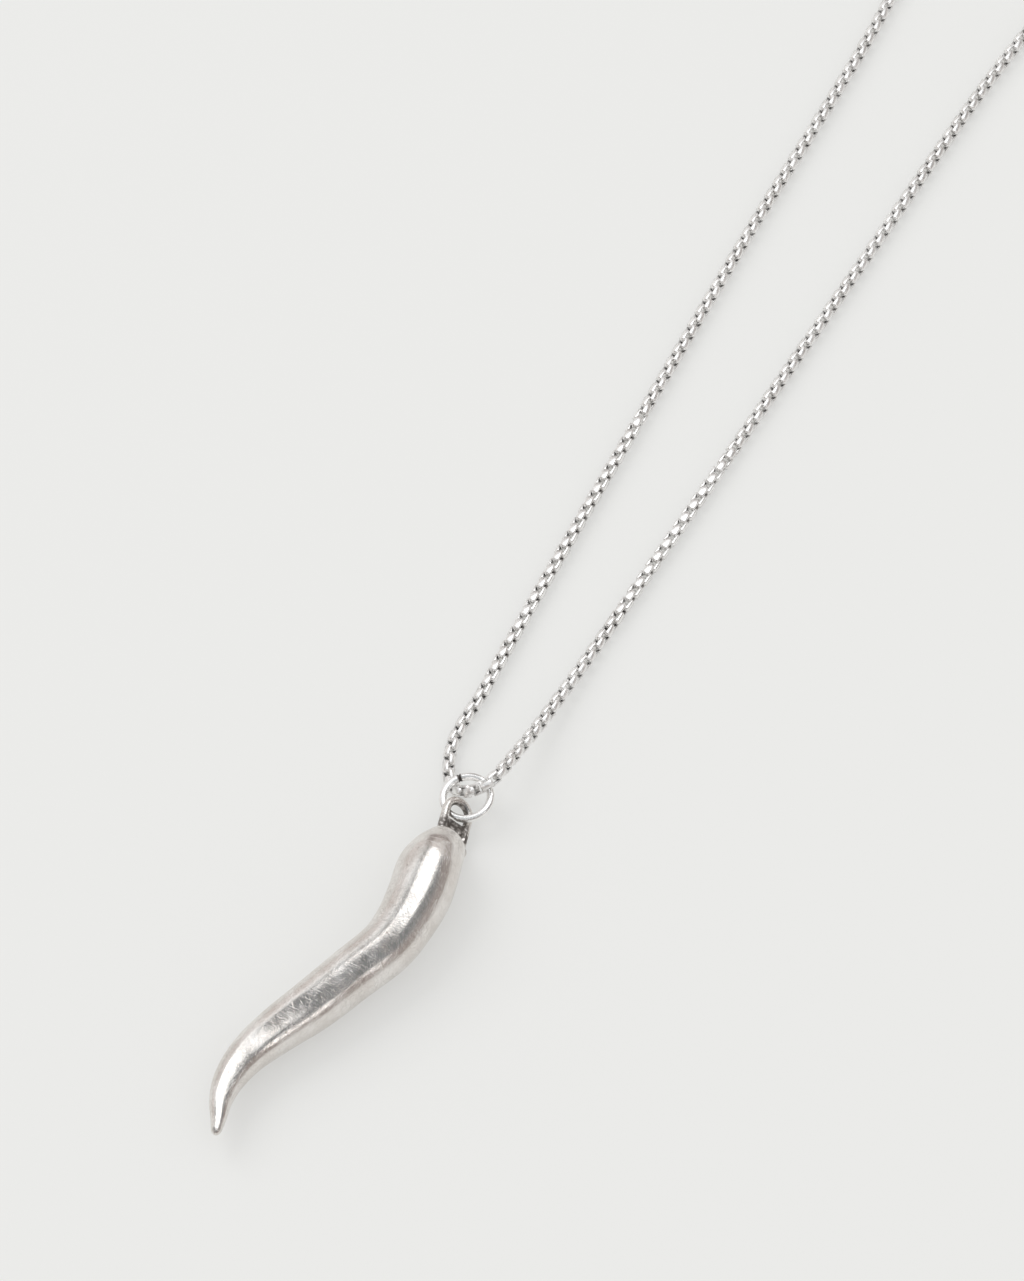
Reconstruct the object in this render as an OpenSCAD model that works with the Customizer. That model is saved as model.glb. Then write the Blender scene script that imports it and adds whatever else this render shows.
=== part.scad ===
// Cornicello horn pendant on a round box chain, lying flat. Millimetres, +Z up.
// The necklace runs along Y: the horn's tip points to -Y and the clasp lies at +Y.

/* [Horn] */
// Length of the horn from the eye's seat to the tip
horn_l = 43.9; // [30:0.1:70]
// Largest diameter of the horn, near its top
horn_d = 6.95; // [5:0.05:9]
// Sideways travel that the S bend is drawn from
horn_sway = 7.2; // [4:0.1:10]
// Length of the rounding at the blunt tip
tip_round = 0.55; // [0.3:0.05:1]
// Length of the rounding at the top, under the eye
top_round = 0.5; // [0.4:0.05:2]

/* [Eye] */
// Outer width of the wire eye
eye_w = 3.9; // [3.5:0.05:5]
// Length of the eye from its seat on the horn to its outer end
eye_l = 5.75; // [5:0.05:7]
// Thickness of the eye's wire
eye_wire = 0.95; // [0.7:0.05:1.2]
// Turn of the eye away from the necklace's line, in degrees
eye_turn = 15.5; // [5:0.5:25]
// Length of each leg that is sunk into the horn
eye_sink = 2.2; // [1:0.1:3]
// Diameter of the solder round the foot of each leg
solder_d = 1.5; // [1.2:0.05:2]
// Thickness of the web that fills the eye below the ring
web_t = 0.6; // [0.4:0.05:0.8]
// Space between the ring's wire and the web
web_space = 0.25; // [0.15:0.05:0.5]

/* [Jump ring] */
// Outer diameter of the jump ring
ring_d = 6.0; // [5.5:0.05:8]
// Thickness of the ring's wire
ring_wire = 0.85; // [0.6:0.05:1]
// Width of the saw cut where the ring closes
ring_saw = 0.16; // [0.05:0.01:0.3]
// Lean of the ring off the surface, in degrees
ring_lean = 9; // [5:0.5:15]

/* [Chain] */
// Diameter of the round box chain
chain_d = 1.5; // [1.2:0.05:1.6]

/* [Clasp] */
// Diameter of the barrel
clasp_d = 3.6; // [3:0.1:6]
// Length of the barrel between its two cups
clasp_l = 8; // [5:0.1:12]
// Length of the cup that holds each end of the chain
cup_l = 3; // [2:0.1:4]
// Wall of the cup
cup_wall = 0.4; // [0.2:0.05:0.6]
// Rounding of the barrel's shoulders
shoulder_r = 1.1; // [0.5:0.05:1.4]
// Depth of the groove round the middle of the barrel
groove = 0.15; // [0.05:0.01:0.3]

/* [Fit] */
// Clearance between pieces that touch on the real necklace
fit_gap = 0.1; // [0.05:0.01:0.2]

/* [Hidden] */
$fn = 48;

// Ring centre over the surface, and the bearing of its raised side from +X
ring_at = [1.9, -93.55];
ring_rise = 57;
// Bearing of the saw cut from +X
saw_at = 135;
ring_r = (ring_d - ring_wire) / 2;
// The chain runs under the ring's wire on its low side, this share of its full drop
under_share = 0.63;
ring_low = under_share * ring_r * sin(ring_lean);
ring_z = chain_d + fit_gap + ring_wire / 2 + ring_low;

// The ring's wire crosses the eye's hole at the side of the ring that faces the horn.
// The eye rolls just far enough for one leg to clear the wire above it and one below.
eye_r = (eye_w - eye_wire) / 2;
// The middle of the eye's round end lies this far inside the wire
cross_in = 0.5;
cross_r = ring_r - cross_in;
cross_z = ring_z - ring_r * sin(ring_lean) * sin(ring_rise);
ring_slope = atan(tan(ring_lean) * cos(ring_rise));
eye_roll = asin((eye_wire / 2 + ring_wire / 2 + fit_gap) / eye_r) - ring_slope;
eye_mid = [ring_at.x, ring_at.y - cross_r, cross_z];
eye_leg = eye_l - eye_r - eye_wire / 2;
seat = [eye_mid.x + eye_leg * sin(eye_turn), eye_mid.y - eye_leg * cos(eye_turn)];

// Sections of the horn from its top to its tip. Station is a share of horn_l, sideways of
// horn_sway, height and diameter of horn_d. Height is the centre's, and it rests at half the
// diameter where the horn touches the surface.
//  station, sideways, height, diameter
HORN = [
  [0.000,  0.000, 0.320, 0.600],
  [0.023, -0.010, 0.365, 0.705],
  [0.046, -0.010, 0.410, 0.800],
  [0.073, -0.005, 0.455, 0.890],
  [0.115,  0.020, 0.495, 0.980],
  [0.186,  0.110, 0.497, 0.980],
  [0.268,  0.150, 0.490, 0.915],
  [0.349,  0.110, 0.470, 0.870],
  [0.461, -0.130, 0.440, 0.838],
  [0.573, -0.370, 0.415, 0.805],
  [0.675, -0.630, 0.390, 0.712],
  [0.766, -0.800, 0.390, 0.600],
  [0.847, -0.830, 0.408, 0.480],
  [0.909, -0.760, 0.418, 0.360],
  [0.959, -0.635, 0.420, 0.240],
  [1.000, -0.545, 0.420, 0.135]];
STATION = 0;
SIDEWAYS = 1;
HEIGHT = 2;
DIAMETER = 3;
horn_rings = 46;
cap_rings = 5;
horn_sides = 28;

// The clasp lies across the necklace's line, this far from the ring's centre
clasp_y = 235;
// Route of the chain, clasp to ring to clasp: across from the necklace's line, along from the
// ring's centre, and the rise of the chain's underside over the surface
ROUTE = [
  [-12, 234.4, 0.7], [-18.5, 230, 0], [-23.3, 220, 0], [-25, 207, 0], [-23.6, 190, 0],
  [-19.6, 172, 0], [-14.8, 154, 0], [-10.4, 136, 0], [-7.55, 117, 0],
  [-6.6, 82, 0], [-5.7, 59, 0], [-4.75, 36.6, 0], [-4.05, 22, 0], [-3.5, 13.5, 0],
  [-3.5, 9.8, 0], [-3.2, 6.4, 0], [-2.3, 3.8, 0], [-1.35, 2.2, 0], [-0.45, 1.35, 0.05],
  [0.55, 0.9, 0.6], [1.6, 0.7, 1.55], [2.65, 0.9, 2.55], [3.6, 1.75, 3.2], [4, 3.3, 3.2],
  [4.05, 5.2, 2.75], [4.1, 8.6, 1.85], [4.2, 14, 0.85], [4.5, 26, 0],
  [4.87, 37, 0], [5.6, 59, 0], [6.3, 82, 0],
  [7.55, 117, 0], [10.4, 136, 0], [14.8, 154, 0], [19.6, 172, 0], [23.6, 190, 0],
  [25, 207, 0], [23.3, 220, 0], [18.5, 230, 0], [12, 234.4, 0.7]];
chain_sides = 8;
chain_steps = 2;

// The chain's ends sit in the clasp's cups, on the barrel's own axis
cup_bore = chain_d + 2 * fit_gap;
cup_d = cup_bore + 2 * cup_wall;
cup_mouth = clasp_l / 2 + cup_l;
cup_floor = clasp_l / 2 + cup_wall;
chain_end = cup_floor + fit_gap;

// Smooth curve through column c of a table whose column 0 rises
function slope(t, c, i) =
  let (a = max(i - 1, 0), b = min(i + 1, len(t) - 1))
  (t[b][c] - t[a][c]) / (t[b][STATION] - t[a][STATION]);
function span(t, s, i = 0) = i >= len(t) - 2 || s < t[i + 1][STATION] ? i : span(t, s, i + 1);
function curve(t, c, s) =
  let (i = span(t, s), h = t[i + 1][STATION] - t[i][STATION], u = (s - t[i][STATION]) / h)
  (2 * u ^ 3 - 3 * u ^ 2 + 1) * t[i][c] + (u ^ 3 - 2 * u ^ 2 + u) * h * slope(t, c, i)
  + (3 * u ^ 2 - 2 * u ^ 3) * t[i + 1][c] + (u ^ 3 - u ^ 2) * h * slope(t, c, i + 1);

// Smooth curve through points, with a number of steps in each stretch
function blend(a, b, c, d, u) =
  0.5 * (2 * b + (c - a) * u + (2 * a - 5 * b + 4 * c - d) * u ^ 2
  + (3 * b - a - 3 * c + d) * u ^ 3);
function smooth(p, steps) = concat([
  for (i = [0:len(p) - 2], k = [0:steps - 1])
    blend(p[max(i - 1, 0)], p[i], p[i + 1], p[min(i + 2, len(p) - 1)], k / steps)],
  [p[len(p) - 1]]);

// Rings of points square to a line of centres, and the closed skin over them
function unit(v) = v / norm(v);
function heading(p, i) = unit(p[min(i + 1, len(p) - 1)] - p[max(i - 1, 0)]);
function ring_of(centre, dir, r, sides) =
  let (side = unit(cross(dir, [0, 0, 1])), rise = cross(side, dir))
  [for (k = [0:sides - 1]) let (a = 360 * k / sides)
    centre + r * (cos(a) * side + sin(a) * rise)];
module skin(centres, radii, sides) {
  last = len(centres) - 1;
  points = [for (i = [0:last]) each ring_of(centres[i], heading(centres, i), radii[i], sides)];
  walls = [for (i = [0:last - 1], k = [0:sides - 1])
    let (n = (k + 1) % sides)
    [i * sides + k, i * sides + n, (i + 1) * sides + n, (i + 1) * sides + k]];
  start = [for (k = [sides - 1:-1:0]) k];
  end = [for (k = [0:sides - 1]) last * sides + k];
  polyhedron(points, concat(walls, [start, end]), convexity = 6);
}

// Radius of the horn at a distance from its top, with a domed top and a rounded tip.
// Each rounding stops just short of a point, so that the skin ends in a small flat.
dome_share = 0.92;
function dome(d, reach) = d >= reach ? 1 : sqrt(1 - (dome_share * (1 - d / reach)) ^ 2);
function horn_r(d) =
  horn_d / 2 * curve(HORN, DIAMETER, d / horn_l) * dome(d, top_round)
  * dome(horn_l - d, tip_round);
function horn_centre(d) = [
  seat.x + horn_sway * curve(HORN, SIDEWAYS, d / horn_l),
  seat.y - d,
  horn_d * curve(HORN, HEIGHT, d / horn_l)];
horn_stations = concat(
  [for (k = [0:cap_rings - 1]) top_round * (1 - cos(90 * k / cap_rings))],
  [for (k = [0:horn_rings]) top_round + (horn_l - top_round - tip_round) * k / horn_rings],
  [for (k = [1:cap_rings]) horn_l - tip_round * (1 - sin(90 * k / cap_rings))]);

module horn_body() {
  skin([for (d = horn_stations) horn_centre(d)], [for (d = horn_stations) horn_r(d)],
    horn_sides);
}

module eye_leg_at(side) {
  translate([side * eye_r, -eye_leg - eye_sink, 0])
    rotate([-90, 0, 0]) cylinder(d = eye_wire, h = eye_leg + eye_sink);
  translate([side * eye_r, -eye_leg - solder_d / 4, 0]) sphere(d = solder_d);
}

// The web stops short of the ring's wire, which crosses the eye's hole
module eye_web() {
  top = cross_in + ring_wire / 2 + web_space;
  foot = eye_leg + eye_sink / 2;
  translate([-eye_r, -foot, -web_t / 2]) cube([2 * eye_r, foot - top, web_t]);
}

module eye() {
  translate(eye_mid) rotate([0, 0, eye_turn]) rotate([0, eye_roll, 0]) {
    rotate_extrude(angle = 180) translate([eye_r, 0]) circle(d = eye_wire);
    eye_leg_at(1);
    eye_leg_at(-1);
    eye_web();
  }
}

module horn() {
  color([0.80, 0.80, 0.79]) union() {
    horn_body();
    eye();
  }
}

module jump_ring() {
  saw_turn = 2 * asin(ring_saw / 2 / ring_r);
  color([0.88, 0.88, 0.88])
    translate([ring_at.x, ring_at.y, ring_z])
    rotate([0, 0, ring_rise]) rotate([0, -ring_lean, 0])
    rotate([0, 0, saw_at - ring_rise + saw_turn / 2])
    rotate_extrude(angle = 360 - saw_turn) translate([ring_r, 0]) circle(d = ring_wire);
}

function on_axis(x) = [x, clasp_y, (clasp_d - chain_d) / 2];
chain_points = concat(
  [on_axis(-chain_end), on_axis(-cup_mouth), on_axis(-cup_mouth - 1)],
  ROUTE,
  [on_axis(cup_mouth + 1), on_axis(cup_mouth), on_axis(chain_end)]);

module chain() {
  line = [for (p = smooth(chain_points, chain_steps))
    [p.x, ring_at.y + p.y, max(p.z, 0) + chain_d / 2]];
  color([0.78, 0.78, 0.77]) skin(line, [for (p = line) chain_d / 2], chain_sides);
}

// Half of the barrel's outline, from the middle groove to the cup's mouth
module clasp_half_outline() {
  edge = clasp_l / 2 - shoulder_r;
  polygon([[0, 0], [clasp_d / 2 - groove, 0], [clasp_d / 2 - groove, groove],
    [clasp_d / 2, 2 * groove], [clasp_d / 2, edge], [0, edge]]);
  translate([clasp_d / 2 - shoulder_r, edge]) circle(r = shoulder_r);
  square([clasp_d / 2 - shoulder_r, clasp_l / 2]);
  translate([0, clasp_l / 2 - shoulder_r]) square([cup_d / 2, cup_l + shoulder_r]);
}

module clasp_half() {
  difference() {
    rotate_extrude() intersection() {
      clasp_half_outline();
      square([clasp_d, cup_mouth]);
    }
    translate([0, 0, cup_floor]) cylinder(d = cup_bore, h = cup_mouth);
  }
}

module clasp() {
  color([0.82, 0.82, 0.82])
    translate([0, ring_at.y + clasp_y, clasp_d / 2]) rotate([0, 90, 0]) {
      clasp_half();
      mirror([0, 0, 1]) clasp_half();
    }
}

horn();
jump_ring();
chain();
clasp();
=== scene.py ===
import math

import bmesh
import bpy
from mathutils import Matrix, Vector


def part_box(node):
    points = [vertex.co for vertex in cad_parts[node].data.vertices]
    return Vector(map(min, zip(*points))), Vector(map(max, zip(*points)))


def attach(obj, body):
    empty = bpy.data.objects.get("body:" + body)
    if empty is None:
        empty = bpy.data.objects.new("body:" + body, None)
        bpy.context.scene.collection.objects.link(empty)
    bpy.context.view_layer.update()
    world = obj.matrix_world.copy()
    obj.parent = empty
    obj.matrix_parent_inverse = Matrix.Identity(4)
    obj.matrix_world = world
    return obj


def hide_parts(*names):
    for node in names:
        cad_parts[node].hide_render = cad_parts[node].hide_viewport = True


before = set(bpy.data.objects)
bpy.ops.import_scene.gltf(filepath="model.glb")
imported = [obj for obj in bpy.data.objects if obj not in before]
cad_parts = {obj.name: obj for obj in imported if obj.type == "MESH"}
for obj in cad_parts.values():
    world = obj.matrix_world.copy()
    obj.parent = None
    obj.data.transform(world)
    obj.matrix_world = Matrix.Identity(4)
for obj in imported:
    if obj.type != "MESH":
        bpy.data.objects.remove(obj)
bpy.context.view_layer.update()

# Horn: a solid S-curved cornicello in cast silver, filed round and polished by hand.
# Its wire eye is soldered to the domed top, so body, eye and solder are one piece of metal.
# All sizes are in metres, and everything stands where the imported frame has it.

UP = Vector((0, 0, 1))

horn_length = 0.0439
horn_width = 0.00695
horn_sway = 0.0072
top_round = 0.0005
tip_round = 0.00055
# Sections from the eye's seat to the tip. Station is a share of the length, sideways of the
# sway, height and diameter of the width.
HORN_SECTIONS = [
    (0.000, 0.000, 0.320, 0.600),
    (0.023, -0.010, 0.365, 0.705),
    (0.046, -0.010, 0.410, 0.800),
    (0.073, -0.005, 0.455, 0.890),
    (0.115, 0.020, 0.495, 0.980),
    (0.186, 0.110, 0.497, 0.980),
    (0.268, 0.150, 0.490, 0.915),
    (0.349, 0.110, 0.470, 0.870),
    (0.461, -0.130, 0.440, 0.838),
    (0.573, -0.370, 0.415, 0.805),
    (0.675, -0.630, 0.390, 0.712),
    (0.766, -0.800, 0.390, 0.600),
    (0.847, -0.830, 0.408, 0.480),
    (0.909, -0.760, 0.418, 0.360),
    (0.959, -0.635, 0.420, 0.240),
    (1.000, -0.545, 0.420, 0.135),
]
STATION, SIDEWAYS, HEIGHT, DIAMETER = range(4)
horn_sides = 64
horn_rings = 180
cap_rings = 10
dome_share = 0.92

eye_width = 0.0039
eye_length = 0.00575
eye_wire = 0.00095
eye_turn = math.radians(15.5)
eye_roll = math.radians(38)
eye_sink = 0.0022
eye_inside_ring = 0.0005
eye_sides = 24
eye_bend_steps = 24
solder_size = 0.0015
solder_rings = 16
web_thickness = 0.0006
web_space = 0.00025
# Beads of solder on the web, in the eye's own frame: across, along, over the web, and size
SOLDER_LUMPS = [
    (-0.00060, -0.00150, 0.00022, 0.00060),
    (0.00035, -0.00165, 0.00020, 0.00055),
    (-0.00010, -0.00230, 0.00024, 0.00062),
    (0.00085, -0.00235, 0.00018, 0.00070),
    (-0.00085, -0.00290, 0.00020, 0.00060),
    (0.00020, -0.00315, 0.00026, 0.00075),
    (0.00095, -0.00345, 0.00022, 0.00080),
    (-0.00045, -0.00370, 0.00028, 0.00085),
]
metal_grain = 0.00011


def slope(table, column, i):
    before, after = table[max(i - 1, 0)], table[min(i + 1, len(table) - 1)]
    return (after[column] - before[column]) / (after[STATION] - before[STATION])


def curve(table, column, station):
    """Smooth curve through one column of a table of sections."""
    i = max(k for k in range(len(table) - 1) if k == 0 or table[k][STATION] <= station)
    start, end = table[i], table[i + 1]
    span = end[STATION] - start[STATION]
    u = (station - start[STATION]) / span
    return (
        (2 * u**3 - 3 * u**2 + 1) * start[column]
        + (u**3 - 2 * u**2 + u) * span * slope(table, column, i)
        + (3 * u**2 - 2 * u**3) * end[column]
        + (u**3 - u**2) * span * slope(table, column, i + 1)
    )


def stand(centre, heading):
    """Matrix that carries a shape drawn round Z to a centre, square to a heading."""
    side = UP.cross(heading).normalized()
    rise = heading.cross(side)
    return Matrix.Translation(centre) @ Matrix((side, rise, heading)).transposed().to_4x4()


def heading_at(line, i):
    return (line[min(i + 1, len(line) - 1)] - line[max(i - 1, 0)]).normalized()


def sweep(bm, line, radii, sides):
    """Skins a line of centres with circles of the given radii, and closes both ends."""
    places = [stand(centre, heading_at(line, i)) @ Matrix.Scale(radii[i], 4)
              for i, centre in enumerate(line)]
    first = bmesh.ops.create_circle(bm, cap_ends=True, segments=sides, radius=1, matrix=places[0])
    ring = set(first["verts"])
    edges = [edge for edge in bm.edges if ring.issuperset(edge.verts)]
    for before, after in zip(places, places[1:]):
        grown = bmesh.ops.extrude_edge_only(bm, edges=edges)["geom"]
        ring = {part for part in grown if isinstance(part, bmesh.types.BMVert)}
        edges = [part for part in grown if isinstance(part, bmesh.types.BMEdge)
                 and ring.issuperset(part.verts)]
        bmesh.ops.transform(bm, matrix=after @ before.inverted(), verts=list(ring))
    bmesh.ops.contextual_create(bm, geom=edges)


def shown(name, bm, material, node):
    """Makes a finished piece of a bmesh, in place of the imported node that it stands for."""
    bmesh.ops.recalc_face_normals(bm, faces=bm.faces)
    mesh = bpy.data.meshes.new(name)
    bm.to_mesh(mesh)
    bm.free()
    mesh.shade_smooth()
    mesh.materials.append(material)
    piece = bpy.data.objects.new(name, mesh)
    bpy.context.scene.collection.objects.link(piece)
    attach(piece, "root")
    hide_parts(node)
    return piece


def dome(distance, reach):
    """Share of the full radius near a rounded end."""
    return 1 if distance >= reach else math.sqrt(1 - (dome_share * (1 - distance / reach)) ** 2)


def horn_centre(distance):
    station = distance / horn_length
    return Vector((
        seat.x + horn_sway * curve(HORN_SECTIONS, SIDEWAYS, station),
        seat.y - distance,
        horn_width * curve(HORN_SECTIONS, HEIGHT, station),
    ))


def horn_radius(distance):
    full = horn_width / 2 * curve(HORN_SECTIONS, DIAMETER, distance / horn_length)
    return full * dome(distance, top_round) * dome(horn_length - distance, tip_round)


# The eye hangs on the jump ring's near side, one leg over the ring's wire and one under it
ring_low, ring_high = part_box("jump_ring")
ring_centre = (ring_low + ring_high) / 2
ring_outer = 0.006
ring_wire = 0.00085
ring_radius = (ring_outer - ring_wire) / 2
ring_lean = math.radians(9)
ring_rise = math.radians(57)
eye_radius = (eye_width - eye_wire) / 2
eye_leg = eye_length - eye_radius - eye_wire / 2
eye_middle = ring_centre - Vector((
    0,
    ring_radius - eye_inside_ring,
    ring_radius * math.sin(ring_lean) * math.sin(ring_rise),
))
seat = eye_middle + eye_leg * Vector((math.sin(eye_turn), -math.cos(eye_turn), 0))

full_stretch = horn_length - top_round - tip_round
stations = [top_round * (1 - math.cos(math.pi / 2 * k / cap_rings)) for k in range(cap_rings)]
stations += [top_round + full_stretch * k / horn_rings for k in range(horn_rings + 1)]
stations += [horn_length - tip_round * (1 - math.sin(math.pi / 2 * k / cap_rings))
             for k in range(1, cap_rings + 1)]
horn_bm = bmesh.new()
sweep(horn_bm, [horn_centre(d) for d in stations], [horn_radius(d) for d in stations], horn_sides)

eye_bm = bmesh.new()
arc = [math.pi * k / eye_bend_steps for k in range(eye_bend_steps + 1)]
foot = -eye_leg - eye_sink
eye_line = [Vector((-eye_radius, foot, 0))]
eye_line += [Vector((-eye_radius * math.cos(a), eye_radius * math.sin(a), 0)) for a in arc]
eye_line += [Vector((eye_radius, foot, 0))]
sweep(eye_bm, eye_line, [eye_wire / 2] * len(eye_line), eye_sides)
for side in (-1, 1):
    bmesh.ops.create_uvsphere(
        eye_bm, u_segments=eye_sides, v_segments=solder_rings, radius=solder_size / 2,
        matrix=Matrix.Translation((side * eye_radius, -eye_leg - solder_size / 4, 0)),
    )
web_top = -eye_inside_ring - ring_wire / 2 - web_space
web_foot = -eye_leg - eye_sink / 2
web_place = Matrix.Translation((0, (web_top + web_foot) / 2, 0))
web_size = Matrix.Diagonal((2 * eye_radius, web_top - web_foot, web_thickness, 1))
bmesh.ops.create_cube(eye_bm, matrix=web_place @ web_size)
for x, y, z, size in SOLDER_LUMPS:
    bmesh.ops.create_icosphere(eye_bm, subdivisions=2, radius=size / 2,
                               matrix=Matrix.Translation((x, y, z)))
eye_place = (Matrix.Translation(eye_middle) @ Matrix.Rotation(eye_turn, 4, "Z")
             @ Matrix.Rotation(eye_roll, 4, "Y"))
eye_mesh = bpy.data.meshes.new("eye_draft")
eye_bm.to_mesh(eye_mesh)
eye_bm.free()
eye_mesh.transform(eye_place)
horn_bm.from_mesh(eye_mesh)
bpy.data.meshes.remove(eye_mesh)


def put(tree, kind, inputs, **settings):
    """Adds a node to a tree, and gives its sockets their values or links."""
    made = tree.nodes.new(kind)
    for name, value in settings.items():
        setattr(made, name, value)
    for socket, value in inputs.items():
        if isinstance(value, bpy.types.NodeSocket):
            tree.links.new(value, made.inputs[socket])
        else:
            made.inputs[socket].default_value = value
    return made.outputs[0]


def maths(tree, operation, *values):
    return put(tree, "ShaderNodeMath", dict(enumerate(values)), operation=operation)


def ramp(tree, value, start, end, first=0, last=1):
    """A soft step from first to last, as a value goes from start to end."""
    inputs = {"Value": value, "From Min": start, "From Max": end, "To Min": first, "To Max": last}
    return put(tree, "ShaderNodeMapRange", inputs, interpolation_type="SMOOTHSTEP")


def mixed(tree, mask, first, second):
    """A colour that goes from the first to the second as a mask goes from 0 to 1."""
    # A Mix node keeps its colours in inputs 6 and 7, and its mixed colour in output 2
    inputs = {0: mask, 6: first, 7: second}
    return put(tree, "ShaderNodeMix", inputs, data_type="RGBA").node.outputs[2]


def stretched(tree, vector, scale, detail):
    """Noise whose spots are drawn out, by their number in a metre along each axis."""
    spread = put(tree, "ShaderNodeMapping", {"Vector": vector, "Scale": scale})
    return put(tree, "ShaderNodeTexNoise", {"Vector": spread, "Scale": 1.0, "Detail": detail})


def fine_lines(tree, vector, scale, width):
    """Fine lines where stretched noise passes through its middle value."""
    off_middle = maths(tree, "SUBTRACT", stretched(tree, vector, scale, detail=0.0), 0.5)
    return ramp(tree, maths(tree, "ABSOLUTE", off_middle), 0, width, first=1, last=0)


def wear_group():
    """Worn silver: grain, file and handling scratches, pits, and a thin uneven tarnish.

    Heights are in millimetres. The piece's own line runs along Y.
    """
    tree = bpy.data.node_groups.new("silver_wear", "ShaderNodeTree")
    tree.interface.new_socket(name="Vector", in_out="INPUT", socket_type="NodeSocketVector")
    for name in ("Grain", "Scratches", "Waves", "Pits", "Smoothness", "Age"):
        tree.interface.new_socket(name=name, in_out="INPUT", socket_type="NodeSocketFloat")
    for name in ("Height", "Roughness", "Tarnish"):
        tree.interface.new_socket(name=name, in_out="OUTPUT", socket_type="NodeSocketFloat")
    given = tree.nodes.new("NodeGroupInput").outputs
    vector = given["Vector"]

    grain = stretched(tree, vector, (7000, 5500, 7000), detail=2.0)
    waves = stretched(tree, vector, (600, 450, 600), detail=1.0)
    blotches = stretched(tree, vector, (420, 300, 420), detail=3.0)
    across = fine_lines(tree, vector, (420, 6500, 420), width=0.03)
    along = fine_lines(tree, vector, (3800, 260, 3800), width=0.02)
    slanted = put(tree, "ShaderNodeVectorRotate", {"Vector": vector, "Angle": 0.8})
    astray = fine_lines(tree, slanted, (300, 4200, 1500), width=0.015)
    bare_patch = ramp(tree, blotches, 0.42, 0.62)
    rubbed_patch = ramp(tree, waves, 0.35, 0.6)

    cells = put(tree, "ShaderNodeTexVoronoi", {"Vector": vector, "Scale": 1000})
    pit_spots = cells.node.outputs["Distance"]
    which = put(tree, "ShaderNodeSeparateColor", {"Color": cells.node.outputs["Color"]})
    pits = maths(tree, "MULTIPLY", ramp(tree, pit_spots, 0.05, 0.14, first=1, last=0),
                 maths(tree, "GREATER_THAN", which, 0.74))

    lines = maths(tree, "MAXIMUM", maths(tree, "MULTIPLY", across, rubbed_patch),
                  maths(tree, "MAXIMUM", maths(tree, "MULTIPLY", along, bare_patch), astray))
    height = maths(tree, "MULTIPLY", maths(tree, "SUBTRACT", grain, 0.5), given["Grain"])
    waving = maths(tree, "SUBTRACT", waves, 0.5)
    height = maths(tree, "MULTIPLY_ADD", waving, given["Waves"], height)
    height = maths(tree, "SUBTRACT", height, maths(tree, "MULTIPLY", lines, given["Scratches"]))
    height = maths(tree, "SUBTRACT", height, maths(tree, "MULTIPLY", pits, given["Pits"]))

    roughness = maths(tree, "MULTIPLY_ADD", bare_patch, 0.07, given["Smoothness"])
    roughness = maths(tree, "MULTIPLY_ADD", lines, 0.08, roughness)
    tarnish = ramp(tree, blotches, 0.3, 0.75, first=0.35, last=0)
    tarnish = maths(tree, "MULTIPLY_ADD", lines, 0.12, tarnish)
    tarnish = maths(tree, "MULTIPLY_ADD", pits, 0.7, tarnish)
    tarnish = maths(tree, "ADD", tarnish, ramp(tree, grain, 0.36, 0.60, first=0.22, last=0))
    tarnish = maths(tree, "MULTIPLY", tarnish, given["Age"])
    result = tree.nodes.new("NodeGroupOutput")
    tree.links.new(height, result.inputs["Height"])
    tree.links.new(roughness, result.inputs["Roughness"])
    tree.links.new(tarnish, result.inputs["Tarnish"])
    return tree


silver_wear = wear_group()
bright_silver = (0.90, 0.875, 0.85, 1)
tarnished_silver = (0.56, 0.50, 0.45, 1)
black_patina = (0.13, 0.115, 0.105, 1)
patina_roughness = 0.22
millimetre = 0.001


def silver(name, bright, grain, scratches, waves, pits, smoothness, age):
    """A worn silver, with its tree and shader, and its point, wear and colour to build on."""
    material = bpy.data.materials.new(name)
    material.use_nodes = True
    tree = material.node_tree
    shader = tree.nodes["Principled BSDF"]
    shader.inputs["Metallic"].default_value = 1
    point = tree.nodes.new("ShaderNodeTexCoord").outputs["Object"]
    values = {"Vector": point, "Grain": grain, "Scratches": scratches, "Waves": waves,
              "Pits": pits, "Smoothness": smoothness, "Age": age}
    wear = put(tree, "ShaderNodeGroup", values, node_tree=silver_wear).node.outputs
    colour = mixed(tree, wear["Tarnish"], bright, tarnished_silver)
    return material, tree, shader, point, wear, colour


def finish_silver(tree, shader, colour, roughness, height, patina):
    """Lays the black patina over the silver by its mask, and plugs everything in."""
    tree.links.new(mixed(tree, patina, colour, black_patina), shader.inputs["Base Color"])
    roughness = maths(tree, "MULTIPLY_ADD", patina, patina_roughness, roughness)
    tree.links.new(roughness, shader.inputs["Roughness"])
    relief = put(tree, "ShaderNodeBump",
                 {"Height": height, "Strength": 1.0, "Distance": millimetre})
    tree.links.new(relief, shader.inputs["Normal"])


def near_spot(tree, point, spot, inner, outer):
    """A mask that is 1 round a spot on the piece and fades to 0."""
    centred = put(tree, "ShaderNodeMapping", {"Vector": point, "Location": [-c for c in spot]})
    away = put(tree, "ShaderNodeVectorMath", {0: centred}, operation="LENGTH")
    return ramp(tree, away.node.outputs["Value"], inner, outer, first=1, last=0)


horn_material, horn_tree, horn_shader, horn_point, horn_wear, horn_colour = silver(
    "horn_silver", bright_silver, grain=0.014, scratches=0.010, waves=0.018, pits=0.04,
    smoothness=0.15, age=1.0)

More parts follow.
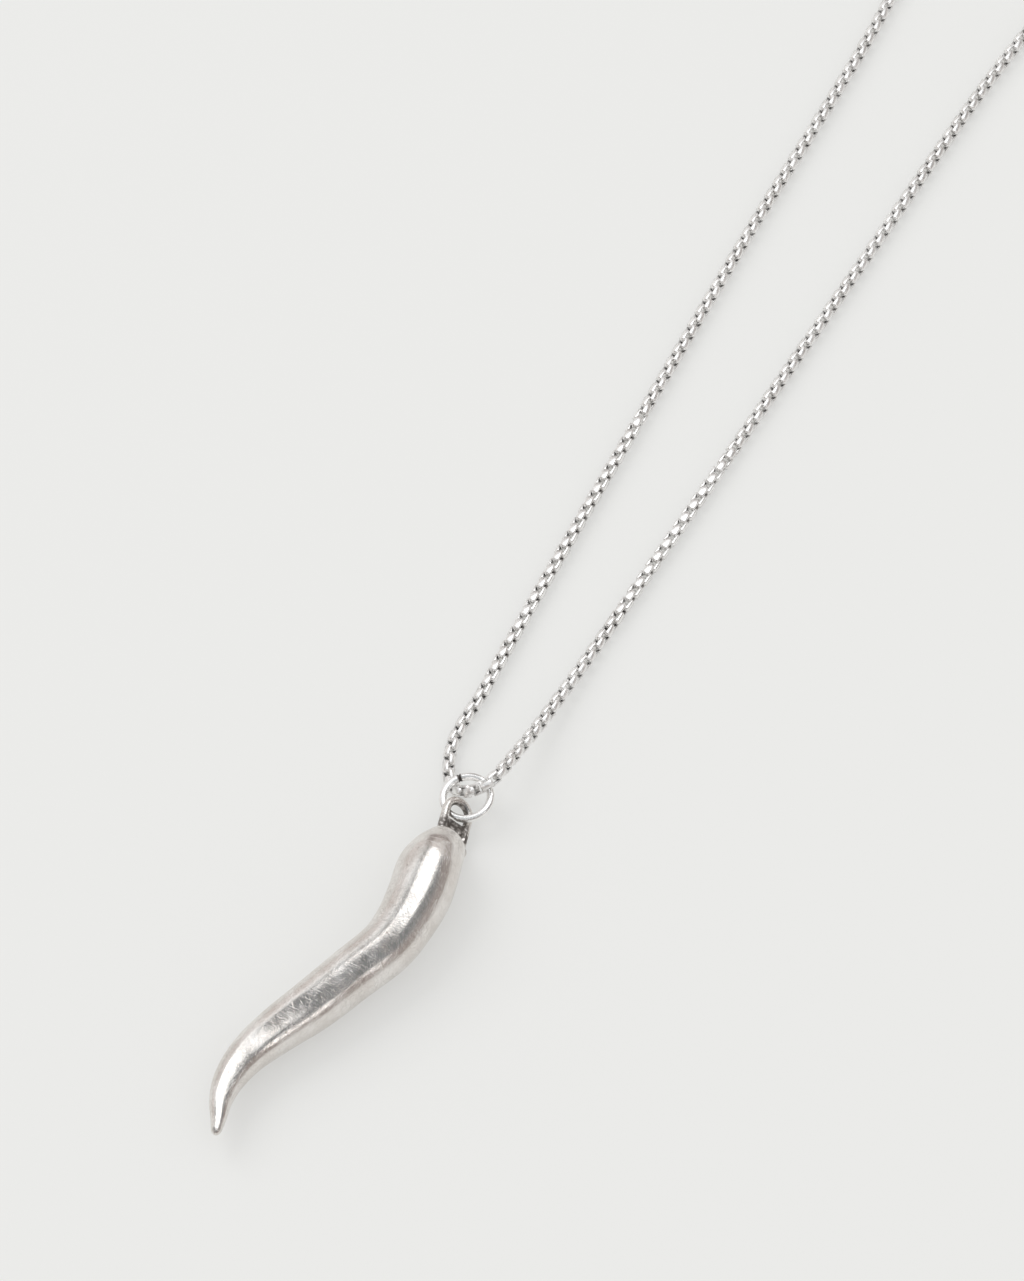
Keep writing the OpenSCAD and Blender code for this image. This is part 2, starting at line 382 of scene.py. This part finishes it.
# Dark crust on the web and round the foot of the eye, which no polishing has reached. Its
# relief is in millimetres.
neck_spot = eye_place @ Vector((0, -eye_leg * 0.72, 0))
crust_relief = 0.09
neck = near_spot(horn_tree, horn_point, neck_spot, inner=0.0018, outer=0.0028)
crust = stretched(horn_tree, horn_point, (2100, 2100, 2100), detail=3.0)
neck_crust = ramp(horn_tree, crust, 0.36, 0.54, first=0.05, last=0.9)
neck_patina = maths(horn_tree, "MULTIPLY", neck, neck_crust)
neck_height = maths(horn_tree, "MULTIPLY", maths(horn_tree, "SUBTRACT", crust, 0.5),
                    maths(horn_tree, "MULTIPLY", neck, crust_relief))

# The inner side of the eye's wire is coloured darker, measured in the eye's own frame
in_eye = put(horn_tree, "ShaderNodeMapping",
             {"Vector": horn_point, "Location": eye_place.translation,
              "Rotation": eye_place.to_euler()}, vector_type="TEXTURE")
eye_axes = put(horn_tree, "ShaderNodeSeparateXYZ", {"Vector": in_eye}).node.outputs
eye_across = maths(horn_tree, "ABSOLUTE", eye_axes["X"])
eye_along = maths(horn_tree, "MAXIMUM", eye_axes["Y"], 0.0)
eye_reach = maths(horn_tree, "MULTIPLY", eye_along, eye_along)
eye_reach = maths(horn_tree, "MULTIPLY_ADD", eye_across, eye_across, eye_reach)
eye_reach = maths(horn_tree, "SQRT", eye_reach)
inside_wire = ramp(horn_tree, eye_reach, eye_radius - eye_wire * 0.45,
                   eye_radius - eye_wire * 0.1, first=1, last=0)
above_foot = ramp(horn_tree, eye_axes["Y"], -eye_leg, -eye_leg * 0.7)
eye_inside = maths(horn_tree, "MULTIPLY", inside_wire, above_foot)
# How dark the inner side of the wire is coloured, uneven along it
eye_darkening = ramp(horn_tree, crust, 0.36, 0.54, first=0.55, last=0.95)
eye_inner_darkening = maths(horn_tree, "MULTIPLY", eye_inside, eye_darkening)
finish_silver(horn_tree, horn_shader, horn_colour, horn_wear["Roughness"],
              maths(horn_tree, "ADD", horn_wear["Height"], neck_height),
              maths(horn_tree, "MAXIMUM", neck_patina, eye_inner_darkening))
horn = shown("horn_body", horn_bm, horn_material, "horn")
remesh = horn.modifiers.new("one_piece", "REMESH")
remesh.mode = "VOXEL"
remesh.voxel_size = metal_grain
remesh.use_smooth_shade = True
soften = horn.modifiers.new("polish", "SMOOTH")
soften.factor = 0.5
soften.iterations = 6

# Jump ring: a ring of round silver wire, bent closed, with the saw cut where its ends meet.
# It passes through the horn's eye and round the chain, and lies almost flat on the surface.

saw_gap = 0.00016
saw_bearing = math.radians(135)
stub_share = 0.82
ring_steps = 120
ring_sides = 24
saw_turn = 2 * math.asin(saw_gap / 2 / ring_radius)
wire_turn = 2 * math.pi - saw_turn
ring_arc = [saw_turn / 2 + wire_turn * k / ring_steps for k in range(ring_steps + 1)]
# Each sawn end has a thinner stub, and the two stubs all but touch. The stubs and the wire round
# the cut are coloured dark.
stub_end = saw_turn / 16
ring_arc = [stub_end, saw_turn / 2] + ring_arc + [-saw_turn / 2, -stub_end]
ring_radii = [ring_wire / 2] * len(ring_arc)
for k in (0, 1, -2, -1):
    ring_radii[k] = ring_wire / 2 * stub_share
ring_bm = bmesh.new()
sweep(ring_bm, [ring_radius * Vector((math.cos(a), math.sin(a), 0)) for a in ring_arc],
      ring_radii, ring_sides)
ring_place = (Matrix.Translation(ring_centre) @ Matrix.Rotation(ring_rise, 4, "Z")
              @ Matrix.Rotation(-ring_lean, 4, "Y")
              @ Matrix.Rotation(saw_bearing - ring_rise, 4, "Z"))
bmesh.ops.transform(ring_bm, matrix=ring_place, verts=ring_bm.verts)
# The ring and the chain take a whiter silver than the horn: partly their cleaner metal, and partly
# painted light that makes them show brighter
clean_and_painted_bright_silver = (0.97, 0.965, 0.955, 1)
ring_material, ring_tree, ring_shader, ring_point, ring_wear, ring_colour = silver(
    "ring_silver", clean_and_painted_bright_silver, grain=0.008, scratches=0.003, waves=0.02, pits=0.01,
    smoothness=0.2, age=0.2)
saw_cut = ring_place @ Vector((ring_radius, 0, 0))
# The stubs and the sawn ends of the wire are coloured dark
saw_cut_darkening = near_spot(ring_tree, ring_point, saw_cut, inner=0.00044, outer=0.00052)
finish_silver(ring_tree, ring_shader, ring_colour, ring_wear["Roughness"], ring_wear["Height"],
              saw_cut_darkening)
jump_ring = shown("ring_wire", ring_bm, ring_material, "jump_ring")

# Chain: round box chain of bent silver strip, each link turned a quarter from the last and
# hooked into it. It runs from one clasp cup through the jump ring and back to the other.

chain_width = 0.0015
link_pitch = 0.001
link_length = 0.0014
link_strip = 0.0008
link_wall = 0.00025
link_height = 0.00134
link_corner = 0.00013
link_edge = 0.00012
# Dirt on the ends of a link, as a share of the dirt inside it
end_recess = 0.3
clasp_line = 0.235
# Route of the chain: across from the necklace's line, along from the ring's centre, and the
# rise of the chain's underside over the surface.
CHAIN_ROUTE = [
    (-0.0044, 0.235, 0.00105), (-0.007, 0.235, 0.00105), (-0.008, 0.235, 0.00105),
    (-0.012, 0.2344, 0.0007), (-0.0185, 0.230, 0), (-0.0233, 0.220, 0), (-0.025, 0.207, 0),
    (-0.0236, 0.190, 0), (-0.0196, 0.172, 0), (-0.0148, 0.154, 0), (-0.0104, 0.136, 0),
    (-0.00755, 0.117, 0), (-0.0066, 0.082, 0), (-0.0057, 0.059, 0), (-0.00475, 0.0366, 0),
    (-0.00405, 0.022, 0), (-0.0035, 0.0135, 0), (-0.0035, 0.0098, 0), (-0.0032, 0.0064, 0),
    (-0.0023, 0.0038, 0), (-0.00135, 0.0022, 0), (-0.00045, 0.00135, 0.00005),
    (0.00055, 0.0009, 0.0006), (0.0016, 0.0007, 0.00155), (0.00265, 0.0009, 0.00255),
    (0.0036, 0.00175, 0.0032), (0.004, 0.0033, 0.0032), (0.00405, 0.0052, 0.00275),
    (0.0041, 0.0086, 0.00185), (0.0042, 0.014, 0.00085), (0.0045, 0.026, 0),
    (0.00487, 0.037, 0), (0.0056, 0.059, 0), (0.0063, 0.082, 0), (0.00755, 0.117, 0),
    (0.0104, 0.136, 0), (0.0148, 0.154, 0), (0.0196, 0.172, 0), (0.0236, 0.190, 0),
    (0.025, 0.207, 0), (0.0233, 0.220, 0), (0.0185, 0.230, 0), (0.012, 0.2344, 0.0007),
    (0.008, 0.235, 0.00105), (0.007, 0.235, 0.00105), (0.0044, 0.235, 0.00105),
]
# Turn of the chain about its own line, in degrees, at distances from the ring along it. The
# left strand counts below zero.
CHAIN_TURN = [
    (-0.250, 45), (-0.059, 45), (-0.053, -12), (-0.021, -12), (-0.009, -45),
    (0.026, -45), (0.034, -90), (0.050, -90), (0.060, -135), (0.250, -135),
]
route_steps = 24


def blend(a, b, c, d, u):
    """A point between b and c on the smooth curve through four points."""
    return 0.5 * (2 * b + (c - a) * u + (2 * a - 5 * b + 4 * c - d) * u**2
                  + (3 * b - a - 3 * c + d) * u**3)


def smooth_line(points, steps):
    last = len(points) - 1
    line = [
        blend(points[max(i - 1, 0)], points[i], points[i + 1], points[min(i + 2, last)], k / steps)
        for i in range(last) for k in range(steps)
    ]
    return line + [points[last]]


def turn_at(distance):
    """The chain's turn at a distance from the ring, in radians."""
    for (start, turn_a), (end, turn_b) in zip(CHAIN_TURN, CHAIN_TURN[1:]):
        if distance <= end:
            u = max(0, (distance - start) / (end - start))
            ease = u * u * (3 - 2 * u)
            return math.radians(turn_a + (turn_b - turn_a) * ease)
    return math.radians(CHAIN_TURN[-1][1])


def link_mesh():
    """One link at the origin: a strip bent into a box along X, with its outer edges bevelled."""
    bm = bmesh.new()
    recess = bm.verts.layers.float.new("recess")
    bmesh.ops.create_cube(bm, matrix=Matrix.Diagonal((link_length, link_strip, link_height, 1)))
    bm.normal_update()
    open_sides = [face for face in bm.faces if abs(face.normal.y) > 0.5]
    bmesh.ops.delete(bm, geom=open_sides, context="FACES")
    corners = [edge for edge in bm.edges if not edge.is_boundary]
    bmesh.ops.bevel(bm, geom=corners, offset=link_corner, segments=1, profile=0.5,
                    affect="EDGES", material=-1)
    bm.normal_update()
    bmesh.ops.solidify(bm, geom=bm.faces[:], thickness=link_wall)
    inner_verts = [vert for vert in bm.verts
                   if max(abs(vert.co.x) - link_length / 2, abs(vert.co.z) - link_height / 2)
                   < -link_wall / 2]
    for vert in inner_verts:
        vert[recess] = 1
    for vert in bm.verts:
        if abs(vert.co.x) > (link_length - link_corner) / 2:
            vert[recess] = end_recess
    rims = [edge for edge in bm.edges
            if abs(edge.verts[0].co.y - edge.verts[1].co.y) < link_wall / 2
            and not any(vert in inner_verts for vert in edge.verts)]
    bmesh.ops.bevel(bm, geom=rims, offset=link_edge, segments=1, profile=0.5, affect="EDGES",
                    material=-1)
    bmesh.ops.recalc_face_normals(bm, faces=bm.faces)
    mesh = bpy.data.meshes.new("link_draft")
    bm.to_mesh(mesh)
    bm.free()
    return mesh


route = [Vector((x, ring_centre.y + y, z)) for x, y, z in CHAIN_ROUTE]
chain_line = smooth_line(route, route_steps)
chain_line = [Vector((x, y, max(z, 0) + chain_width / 2)) for x, y, z in chain_line]
run = [0]
for a, b in zip(chain_line, chain_line[1:]):
    run.append(run[-1] + (b - a).length)
nearest = min(range(len(chain_line)), key=lambda i: (chain_line[i] - ring_centre).length)
link_count = round((run[-1] - link_length) / link_pitch) + 1
pitch = (run[-1] - link_length) / (link_count - 1)


def along_chain(distance):
    """A point of the chain's line, by its distance from the start."""
    i = max(k for k in range(len(run) - 1) if k == 0 or run[k] <= distance)
    return chain_line[i].lerp(chain_line[i + 1], (distance - run[i]) / (run[i + 1] - run[i]))


link = link_mesh()
chain_bm = bmesh.new()
chain_bm.verts.layers.float.new("recess")
for k in range(link_count):
    middle = link_length / 2 + k * pitch
    back, front = along_chain(middle - link_length / 3), along_chain(middle + link_length / 3)
    heading = (front - back).normalized()
    roll = turn_at(middle - run[nearest]) + k % 2 * math.pi / 2
    before = len(chain_bm.verts)
    chain_bm.from_mesh(link)
    chain_bm.verts.ensure_lookup_table()
    upended = Matrix.Rotation(math.pi / 2, 4, "Y") @ Matrix.Rotation(roll, 4, "X")
    place = stand((back + front) / 2, heading) @ upended
    bmesh.ops.transform(chain_bm, matrix=place, verts=chain_bm.verts[before:])
bpy.data.meshes.remove(link)
chain_material, chain_tree, chain_shader, chain_point, chain_wear, chain_colour = silver(
    "chain_silver", clean_and_painted_bright_silver, grain=0.006, scratches=0.003, waves=0.01, pits=0.0,
    smoothness=0.3, age=0.3)
recess = put(chain_tree, "ShaderNodeAttribute", {}, attribute_name="recess").node.outputs["Fac"]
dirt = stretched(chain_tree, chain_point, (3000, 3000, 3000), detail=2.0)
chain_patina = maths(chain_tree, "MULTIPLY", recess,
                     ramp(chain_tree, dirt, 0.2, 0.5, first=0.05, last=0.16))
finish_silver(chain_tree, chain_shader, chain_colour, chain_wear["Roughness"],
              chain_wear["Height"], chain_patina)
chain = shown("chain_links", chain_bm, chain_material, "chain")
plates = chain.modifiers.new("flat_plates", "WEIGHTED_NORMAL")
plates.keep_sharp = True

# Clasp: a plain barrel of turned silver at the back of the neck, with a cup at each end that
# holds the chain. The photograph does not show it, so it is one plain closed piece.

clasp_width = 0.0036
clasp_length = 0.008
cup_length = 0.003
cup_wall = 0.0004
cup_bore = 0.0017
shoulder = 0.0011
groove = 0.00015
shoulder_steps = 8
clasp_steps = 64
cup_radius = cup_bore / 2 + cup_wall
cup_mouth = clasp_length / 2 + cup_length
cup_floor = clasp_length / 2 + cup_wall
barrel = clasp_width / 2
edge = clasp_length / 2 - shoulder
shoulder_arc = [math.pi / 2 * k / shoulder_steps for k in range(shoulder_steps + 1)]
rounding = [(edge + shoulder * math.sin(a), barrel - shoulder * (1 - math.cos(a)))
            for a in shoulder_arc]
outline = [(0, barrel - groove), (groove, barrel - groove), (2 * groove, barrel)]
outline += [(x, r) for x, r in rounding if r > cup_radius]
outline += [(clasp_length / 2, cup_radius), (cup_mouth, cup_radius), (cup_mouth, cup_bore / 2),
            (cup_floor, cup_bore / 2), (cup_floor, 0)]
clasp_centre = Vector((0, ring_centre.y + clasp_line, barrel))
clasp_bm = bmesh.new()
full_outline = [(-x, r) for x, r in reversed(outline)] + outline[1:]
verts = [clasp_bm.verts.new(clasp_centre + Vector((x, 0, r))) for x, r in full_outline]
for a, b in zip(verts, verts[1:]):
    clasp_bm.edges.new((a, b))
bmesh.ops.spin(clasp_bm, geom=clasp_bm.verts[:] + clasp_bm.edges[:], cent=clasp_centre,
               axis=(1, 0, 0), angle=2 * math.pi, steps=clasp_steps, use_merge=True)
bmesh.ops.remove_doubles(clasp_bm, verts=clasp_bm.verts, dist=1e-6)
clasp_material, clasp_tree, clasp_shader, clasp_point, clasp_wear, clasp_colour = silver(
    "clasp_silver", bright_silver, grain=0.008, scratches=0.004, waves=0.01, pits=0.0,
    smoothness=0.15, age=0.8)
clasp_axes = put(clasp_tree, "ShaderNodeSeparateXYZ", {"Vector": clasp_point}).node.outputs
off_groove = maths(clasp_tree, "ABSOLUTE", clasp_axes["X"])
groove_patina = ramp(clasp_tree, off_groove, groove, 2 * groove, first=0.6, last=0)
finish_silver(clasp_tree, clasp_shader, clasp_colour, clasp_wear["Roughness"],
              clasp_wear["Height"], groove_patina)
shown("clasp_barrel", clasp_bm, clasp_material, "clasp")

# Floor and light: the necklace lies on matt pale paper that a window lights from the left. Soft
# panels close over the horn, and far ones round it, show in the silver alone.

floor_bm = bmesh.new()
bmesh.ops.create_grid(floor_bm, x_segments=1, y_segments=1, size=4)
floor_mesh = bpy.data.meshes.new("floor")
floor_bm.to_mesh(floor_mesh)
floor_bm.free()
floor = bpy.data.objects.new("floor", floor_mesh)
bpy.context.scene.collection.objects.link(floor)
paper = bpy.data.materials.new("paper")
paper.use_nodes = True
paper_shader = paper.node_tree.nodes["Principled BSDF"]
paper_tone = (0.41, 0.41, 0.402, 1)
paper_shader.inputs["Base Color"].default_value = paper_tone
# The paper glows a little, as it does when lit from all round, so its shadows stay faint
paper_shader.inputs["Emission Color"].default_value = paper_tone
paper_shader.inputs["Emission Strength"].default_value = 1.0
paper_shader.inputs["Roughness"].default_value = 0.9
paper_shader.inputs["Specular IOR Level"].default_value = 0.0
floor_mesh.materials.append(paper)

# Bearings are from the photograph's own right hand, counter-clockwise, and heights are angles
# over the floor
photo_turn = math.radians(28)


def toward(bearing, height):
    bearing = math.radians(bearing) + photo_turn
    height = math.radians(height)
    return Vector((math.cos(height) * math.cos(bearing), math.cos(height) * math.sin(bearing),
                   math.sin(height)))


def panel(name, start, end, width, facing, radiance, lights_floor):
    """A soft panel from the middle of one edge to the middle of the other, facing a point."""
    middle = (start + end) / 2
    along = (end - start).normalized()
    away = middle - facing
    away = (away - away.project(along)).normalized()
    data = bpy.data.lights.new(name, "AREA")
    data.shape = "RECTANGLE"
    data.size = width
    data.size_y = (end - start).length
    data.energy = radiance * math.pi * data.size * data.size_y
    lamp = bpy.data.objects.new(name, data)
    turn = Matrix((along.cross(away), along, away)).transposed().to_4x4()
    lamp.matrix_world = Matrix.Translation(middle) @ turn
    lamp.visible_camera = False
    lamp.visible_diffuse = lights_floor
    lamp.visible_glossy = not lights_floor
    bpy.context.scene.collection.objects.link(lamp)
    return lamp


def overhead(name, start, end, rise, width, radiance):
    """A level panel over a line on the paper, which shows in the silver alone."""
    return panel(name, start + rise * UP, end + rise * UP, width, start, radiance, False)


def under_horn(distance):
    """The point on the paper under the horn's line, by its distance from the eye's seat."""
    centre = horn_centre(distance)
    return Vector((centre.x, centre.y, 0))


# A softbox over the horn's fat part, with a dim wing to its left and a dim tail behind it
horn_spot = under_horn(distance=0.010)
softbox_rise = 0.1
softbox_width = 0.09
softbox_depth = 0.12
softbox_left = 0.024
softbox_back = 0.046
softbox_corner = horn_spot - toward(0, 0) * softbox_left + toward(90, 0) * softbox_back
softbox_near = softbox_corner + toward(-30, 0) * softbox_width / 2
softbox_far = softbox_near + toward(60, 0) * softbox_depth
overhead("softbox", softbox_near, softbox_far, softbox_rise, softbox_width, radiance=1.9)
wing_width = 0.08
wing_depth = 0.08
wing_back = 0.06
wing_left = softbox_left + wing_width / 2
wing_near = horn_spot - toward(0, 0) * wing_left + toward(90, 0) * wing_back
wing_far = wing_near + toward(90, 0) * wing_depth
overhead("wing", wing_near, wing_far, softbox_rise, wing_width, radiance=0.36)
tail_width = 0.16
tail_depth = 0.2
tail_far = softbox_far + toward(75, 0) * tail_depth
overhead("tail", softbox_far, tail_far, softbox_rise, tail_width, radiance=0.38)

# A small light close over the horn's tip
tip_light_rise = 0.026
tip_light_width = 0.042
tip_light_depth = 0.018
tip_light_front = 0.008
tip_light_left = 0.005
tip_spot = under_horn(distance=0.038)
tip_light_near = tip_spot - toward(48, 0) * tip_light_front + toward(138, 0) * tip_light_left
tip_light_far = tip_light_near + toward(48, 0) * tip_light_depth
overhead("tip_light", tip_light_near, tip_light_far, tip_light_rise, tip_light_width,
         radiance=1.7)

# Far off, a pale wall at the left and a narrow strip at the front right, which the silver
# mirrors, and the window
far = 5.0
for name, low_edge, high_edge, width, radiance, lights_floor in (
    ("left_wall", toward(133, 2), toward(133, 46), 6.2, 0.4, False),
    ("strip", toward(-45, 18), toward(-34, 32), 0.5, 3.0, False),
    ("window", toward(140, 25), toward(140, 62), 3.6, 2.0, True),
):
    panel(name, low_edge * far, high_edge * far, width, horn_spot, radiance, lights_floor)

# The ring and the chain are whiter than the horn, so each has a pale ceiling of its own
ceiling_rise = 1.0
ceiling_width = 2.0
for piece, radiance in ((jump_ring, 0.28), (chain, 0.5)):
    ceiling_back = toward(90, 0) * ceiling_width / 2
    ceiling = overhead(piece.name + "_ceiling", horn_spot - ceiling_back,
                       horn_spot + ceiling_back, ceiling_rise, ceiling_width, radiance)
    alone = bpy.data.collections.new(piece.name + "_alone")
    alone.objects.link(piece)
    ceiling.light_linking.receiver_collection = alone

# The air round the necklace is pale, but the silver mirrors a darker room: warm low down and
# cool high up
world = bpy.data.worlds.new("studio")
bpy.context.scene.world = world
world.use_nodes = True
sky = world.node_tree.nodes["Background"]
around = world.node_tree.nodes.new("ShaderNodeTexCoord").outputs["Generated"]
upward = put(world.node_tree, "ShaderNodeSeparateXYZ", {"Vector": around}).node.outputs["Z"]
warm_grey = (0.355, 0.318, 0.302, 1)
cool_grey = (0.265, 0.278, 0.287, 1)
pale_air = (0.84, 0.84, 0.84, 1)
room = mixed(world.node_tree, ramp(world.node_tree, upward, 0.4, 0.6), warm_grey, cool_grey)
light_path = world.node_tree.nodes.new("ShaderNodeLightPath")
air = mixed(world.node_tree, light_path.outputs["Is Glossy Ray"], pale_air, room)
world.node_tree.links.new(air, sky.inputs["Color"])

# Camera: the photograph's viewpoint, 55 degrees over the floor and 28 degrees to the right of
# the necklace's line, far off with a long lens.

target = Vector((-0.004165, -0.071906, 0))
view_height = math.radians(55)
view_distance = 0.9873
view_out = Vector((
    math.cos(view_height) * math.sin(photo_turn),
    -math.cos(view_height) * math.cos(photo_turn),
    math.sin(view_height),
))
camera_data = bpy.data.cameras.new("camera")
camera_data.lens = 257.7
camera_data.sensor_width = 36
camera_data.clip_start = 0.01
camera_data.clip_end = 50
camera = bpy.data.objects.new("camera", camera_data)
camera.location = target + view_out * view_distance
camera.rotation_euler = view_out.to_track_quat("Z", "Y").to_euler()
bpy.context.scene.collection.objects.link(camera)
bpy.context.scene.camera = camera
bpy.context.scene.view_settings.view_transform = "Standard"

bpy.context.view_layer.update()
